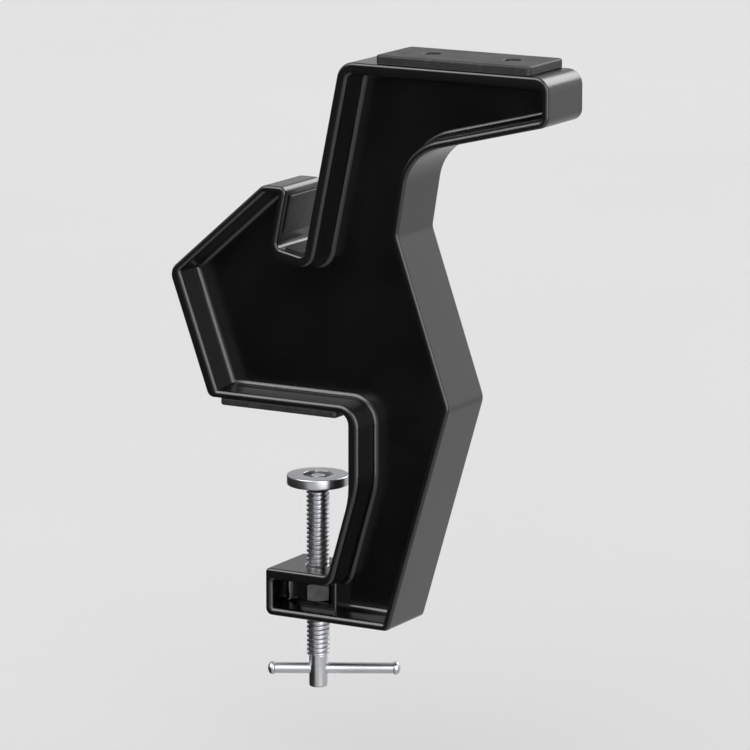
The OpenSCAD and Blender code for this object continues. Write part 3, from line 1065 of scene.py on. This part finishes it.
def build_nut():
    """Hexagon nut with turned corners and a plain bore, which the screw hides."""
    corner = NUT_AF / 2 / math.cos(math.pi / 6)
    low, high = NUT_Z - NUT_H / 2, NUT_Z + NUT_H / 2
    bm = bmesh.new()
    turns = [math.radians(30 + 60 * k) for k in range(6)]
    ring = [(corner * math.cos(t), corner * math.sin(t)) for t in turns]
    a = [bm.verts.new((x, y, low)) for x, y in ring]
    b = [bm.verts.new((x, y, high)) for x, y in ring]
    bridge(bm, a, b)
    bm.faces.new(a)
    bm.faces.new(b)
    nut = new_object("captive_nut", bm, DARK)
    face_r, side_r = NUT_AF / 2 - NUT_FACE_SHY, corner + NUT_CORNER_OVER
    cone = bmesh.new()
    lathe(cone, [(0, low), (face_r, low), (side_r, low + NUT_CORNER_DROP),
                 (side_r, high - NUT_CORNER_DROP), (face_r, high), (0, high)], 72)
    boolean(nut, cone, "INTERSECT")
    bore = bmesh.new()
    rod(bore, SCREW_R + NUT_BORE_ROOM, low - 1, high + 1)
    boolean(nut, bore)
    tidy(nut)
    bevel = nut.modifiers.new("edges", "BEVEL")
    bevel.width = NUT_EDGE * MM
    bevel.segments = 2
    bevel.limit_method = "ANGLE"
    bevel.angle_limit = math.radians(35)
    piece(nut, "frame", "hex_nut")


# ---------------------------------------------------------------- studio

# Brightness of the even light on dull surfaces, and of what shiny ones reflect between boxes
AMBIENT = 1.15
EVEN = 0.7

# Each soft box: azimuth, elevation, outer and inner angle of its soft edge, brightness
SOFT_BOXES = (
    (58, 19, 43, 22, 3.0), (150, 22, 34, 14, 0.6), (165, 34, 24, 14, 4.6), (-27, 43, 34, 16, 5.2),
)

# Dark side: the same four angles, the height at which it has faded out, and what is left in it
DARK_SIDE = (-70, -14, 64, 47)
DARK_TOP = 0.22
DARK_LEFT = 0.03

# Floor: its half width, and how far it lies below the casting
FLOOR_REACH = 6000
FLOOR_DROP = 70

# Camera: its azimuth and elevation, its distance and reach, and a long lens on a full frame
CAMERA_VIEW = (29.7, 11.7)
CAMERA_DISTANCE = 2100
CAMERA_CLIP = 30000
FOCAL_LENGTH = 236
SENSOR_WIDTH = 36


def towards(azimuth, elevation):
    """Unit vector from the object; azimuth 0 is the front (-Y) and 90 is +X, in degrees."""
    a, e = math.radians(azimuth), math.radians(elevation)
    return Vector((math.sin(a) * math.cos(e), -math.cos(a) * math.cos(e), math.sin(e)))


class Surround(Tree):
    """Nodes that give the studio's brightness in a direction: soft boxes and one dark side."""

    def __init__(self, tree, direction):
        super().__init__(tree)
        self.direction = direction

    def ramp(self, value, low, high):
        """0 below the low value, 1 above the high one, with a soft rise between them."""
        node = self.add("ShaderNodeMapRange", interpolation_type="SMOOTHSTEP")
        self.put(node.inputs["Value"], value)
        self.put(node.inputs["From Min"], low)
        self.put(node.inputs["From Max"], high)
        return node.outputs["Result"]

    def lobe(self, azimuth, elevation, outer, inner):
        """0 outside the outer angle from a direction, 1 inside the inner angle, in degrees."""
        alike = self.dot(self.direction, towards(azimuth, elevation))
        low, high = (math.cos(math.radians(a)) for a in (outer, inner))
        return self.ramp(alike, low, high)

    def brightness(self):
        """The level between the boxes plus the soft boxes, dimmed on the dark side."""
        split = self.add("ShaderNodeSeparateXYZ")
        self.link(self.direction, split.inputs[0])
        low_down = self.math("SUBTRACT", 1.0, self.ramp(split.outputs["Z"], 0.0, DARK_TOP))
        dark = self.math("MULTIPLY", self.lobe(*DARK_SIDE), low_down)
        level = EVEN
        for *place, strength in SOFT_BOXES:
            level = self.math("ADD", self.math("MULTIPLY", self.lobe(*place), strength), level)
        return self.math("MULTIPLY", level, self.math("SUBTRACT", 1 + DARK_LEFT, dark))


def build_floor():
    """A plain pale floor. Reflections of it follow the studio's brightness."""
    bm = bmesh.new()
    ends = (-FLOOR_REACH, FLOOR_REACH)
    plan = (ends[0], ends[0]), (ends[1], ends[0]), (ends[1], ends[1]), (ends[0], ends[1])
    bm.faces.new([bm.verts.new((x, y, JAW_BOTTOM - FLOOR_DROP)) for x, y in plan])
    n = Material("floor")
    pale = n.mix(n.noise(2, 2, 0.5), (0.80, 0.80, 0.80), (0.84, 0.84, 0.84))
    material = n.finish(pale, 0.9, Specular_IOR_Level=0.1)
    onward = n.add("ShaderNodeVectorMath", operation="SCALE")
    n.link(n.add("ShaderNodeNewGeometry").outputs["Incoming"], onward.inputs[0])
    onward.inputs["Scale"].default_value = -1
    glow = n.add("ShaderNodeEmission")
    n.link(Surround(n.tree, onward.outputs[0]).brightness(), glow.inputs["Strength"])
    seen = n.add("ShaderNodeLightPath")
    mix = n.add("ShaderNodeMixShader")
    n.link(seen.outputs["Is Glossy Ray"], mix.inputs[0])
    n.link(n.shader.outputs[0], mix.inputs[1])
    n.link(glow.outputs[0], mix.inputs[2])
    n.link(mix.outputs[0], n.tree.nodes["Material Output"].inputs["Surface"])
    new_object("floor", bm, material)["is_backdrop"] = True


def build_world():
    """Even light on dull surfaces; shiny ones reflect the soft boxes and the dark side."""
    world = bpy.data.worlds.new("studio")
    bpy.context.scene.world = world
    world.use_nodes = True
    world.node_tree.nodes.clear()
    t = Tree(world.node_tree)
    direction = t.add("ShaderNodeTexCoord").outputs["Generated"]
    mix = t.add("ShaderNodeMix")
    t.link(t.add("ShaderNodeLightPath").outputs["Is Glossy Ray"], mix.inputs[0])
    t.put(mix.inputs[2], AMBIENT)
    t.link(Surround(t.tree, direction).brightness(), mix.inputs[3])
    background = t.add("ShaderNodeBackground")
    t.link(mix.outputs[0], background.inputs["Strength"])
    output = t.add("ShaderNodeOutputWorld")
    t.link(background.outputs["Background"], output.inputs["Surface"])


def build_camera():
    """A view of the whole object from its front and outer end, a little from above."""
    low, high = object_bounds()
    target = (Vector(low) + Vector(high)) / 2
    away = towards(*CAMERA_VIEW)
    data = bpy.data.cameras.new("camera")
    data.lens = FOCAL_LENGTH
    data.sensor_width = SENSOR_WIDTH
    data.clip_end = CAMERA_CLIP * MM
    camera = bpy.data.objects.new("camera", data)
    camera.location = target + away * (CAMERA_DISTANCE * MM)
    camera.rotation_euler = away.to_track_quat("Z", "Y").to_euler()
    bpy.context.scene.collection.objects.link(camera)
    bpy.context.scene.camera = camera


build_casting()
build_strips()
build_pad("arm_pad", "arm_rubber", 1)
build_pad("jaw_pad", "jaw_rubber", -1)
build_spindle()
build_bar()
build_foot()
build_washer()
build_ring()
build_nut()
build_floor()
build_world()
build_camera()
bpy.context.scene.view_settings.view_transform = "Standard"
